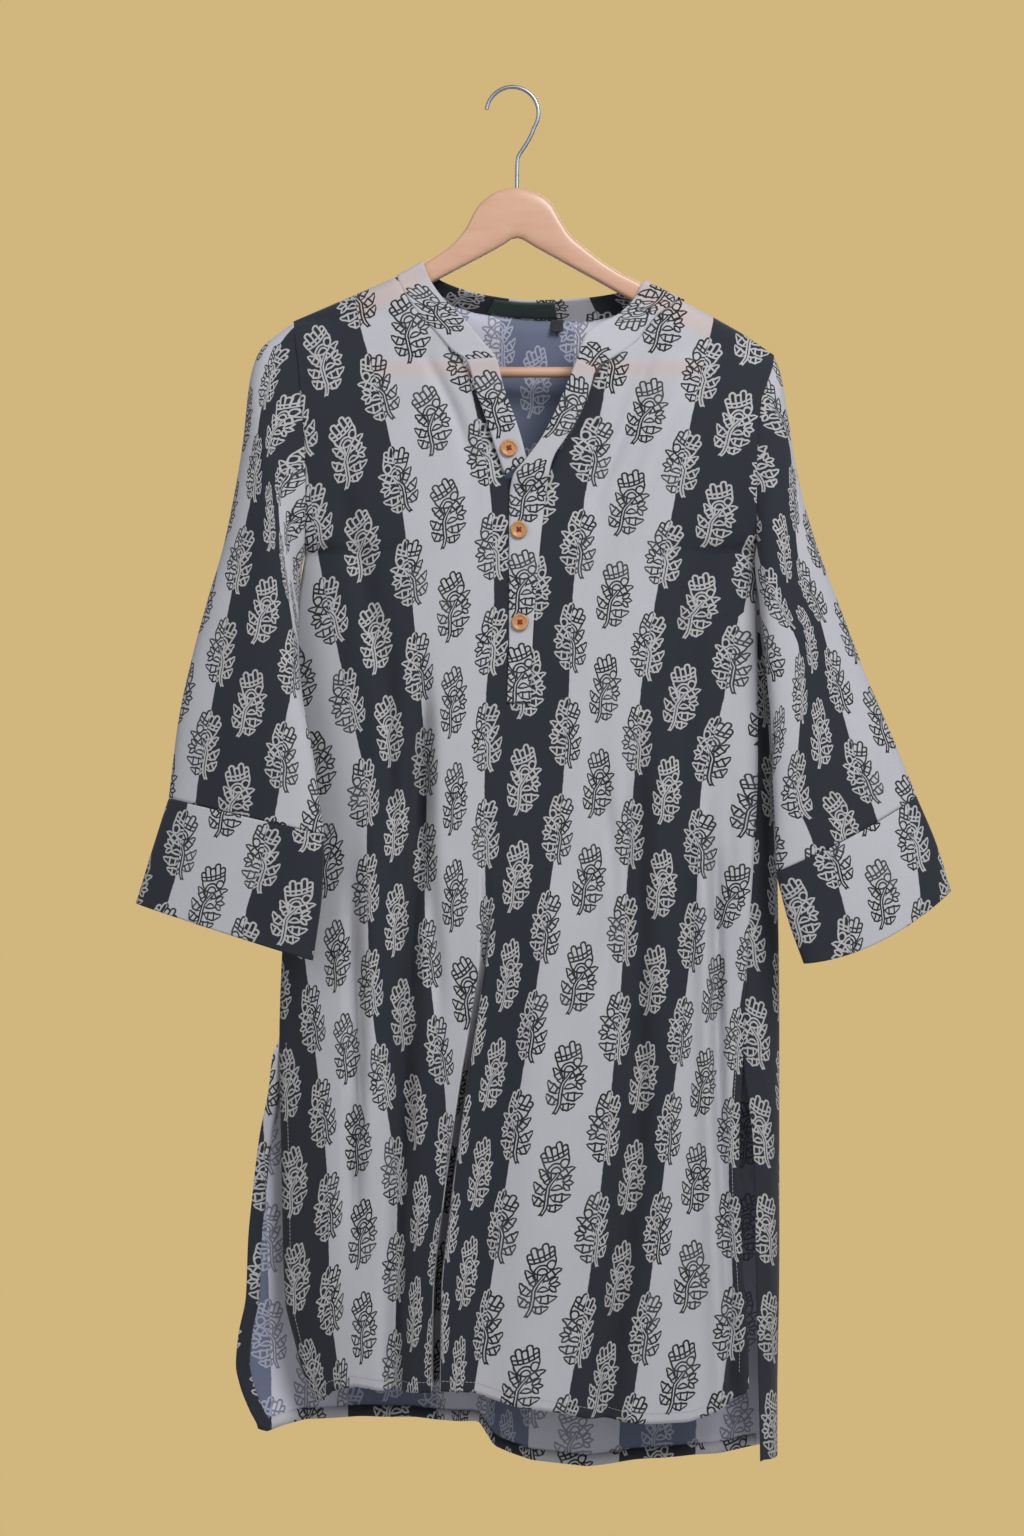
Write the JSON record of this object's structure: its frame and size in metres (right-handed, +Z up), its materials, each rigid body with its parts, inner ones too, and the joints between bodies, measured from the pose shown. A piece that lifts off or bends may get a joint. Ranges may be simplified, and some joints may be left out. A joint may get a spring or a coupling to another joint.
{
  "type": "kurta tunic on a hanger",
  "caption": "Long striped kurta tunic with a band collar, button placket, wide cuffed sleeves and side slits, hung on a wooden hanger with a steel hook",
  "frame": {"origin": "the hang point, under the crown of the hook where a rail carries it", "axes": "+Z up, -Y out of the front of the garment, +X to the right as seen from the front"},
  "size_m": [0.7089, 0.1212, 1.2239],
  "materials": {
    "printed_cloth": "matte printed cotton, dark navy and pale grey stripes with a small flower repeat",
    "band_cloth": "matte printed cotton, pale ground",
    "coconut_button": "satin coconut shell with red-brown thread",
    "label_cloth": "woven satin label, plain",
    "tab_cloth": "woven tab, plain",
    "hanger_wood": "smooth lacquered pale wood",
    "hook_steel": "bright plated wire"
  },
  "bodies": {
    "root": {"front_panel": "printed_cloth", "back_panel": "printed_cloth", "sleeve_left": "printed_cloth", "sleeve_right": "printed_cloth", "cuff_left": "printed_cloth", "cuff_right": "printed_cloth", "neck_band": "band_cloth", "placket": "band_cloth", "button_1": "coconut_button", "button_2": "coconut_button", "button_3": "coconut_button", "neck_label": "label_cloth", "size_tab": "tab_cloth", "hanger_body": "hanger_wood", "hanger_bar": "hanger_wood", "hanger_hook": "hook_steel"}
  },
  "joints": []
}
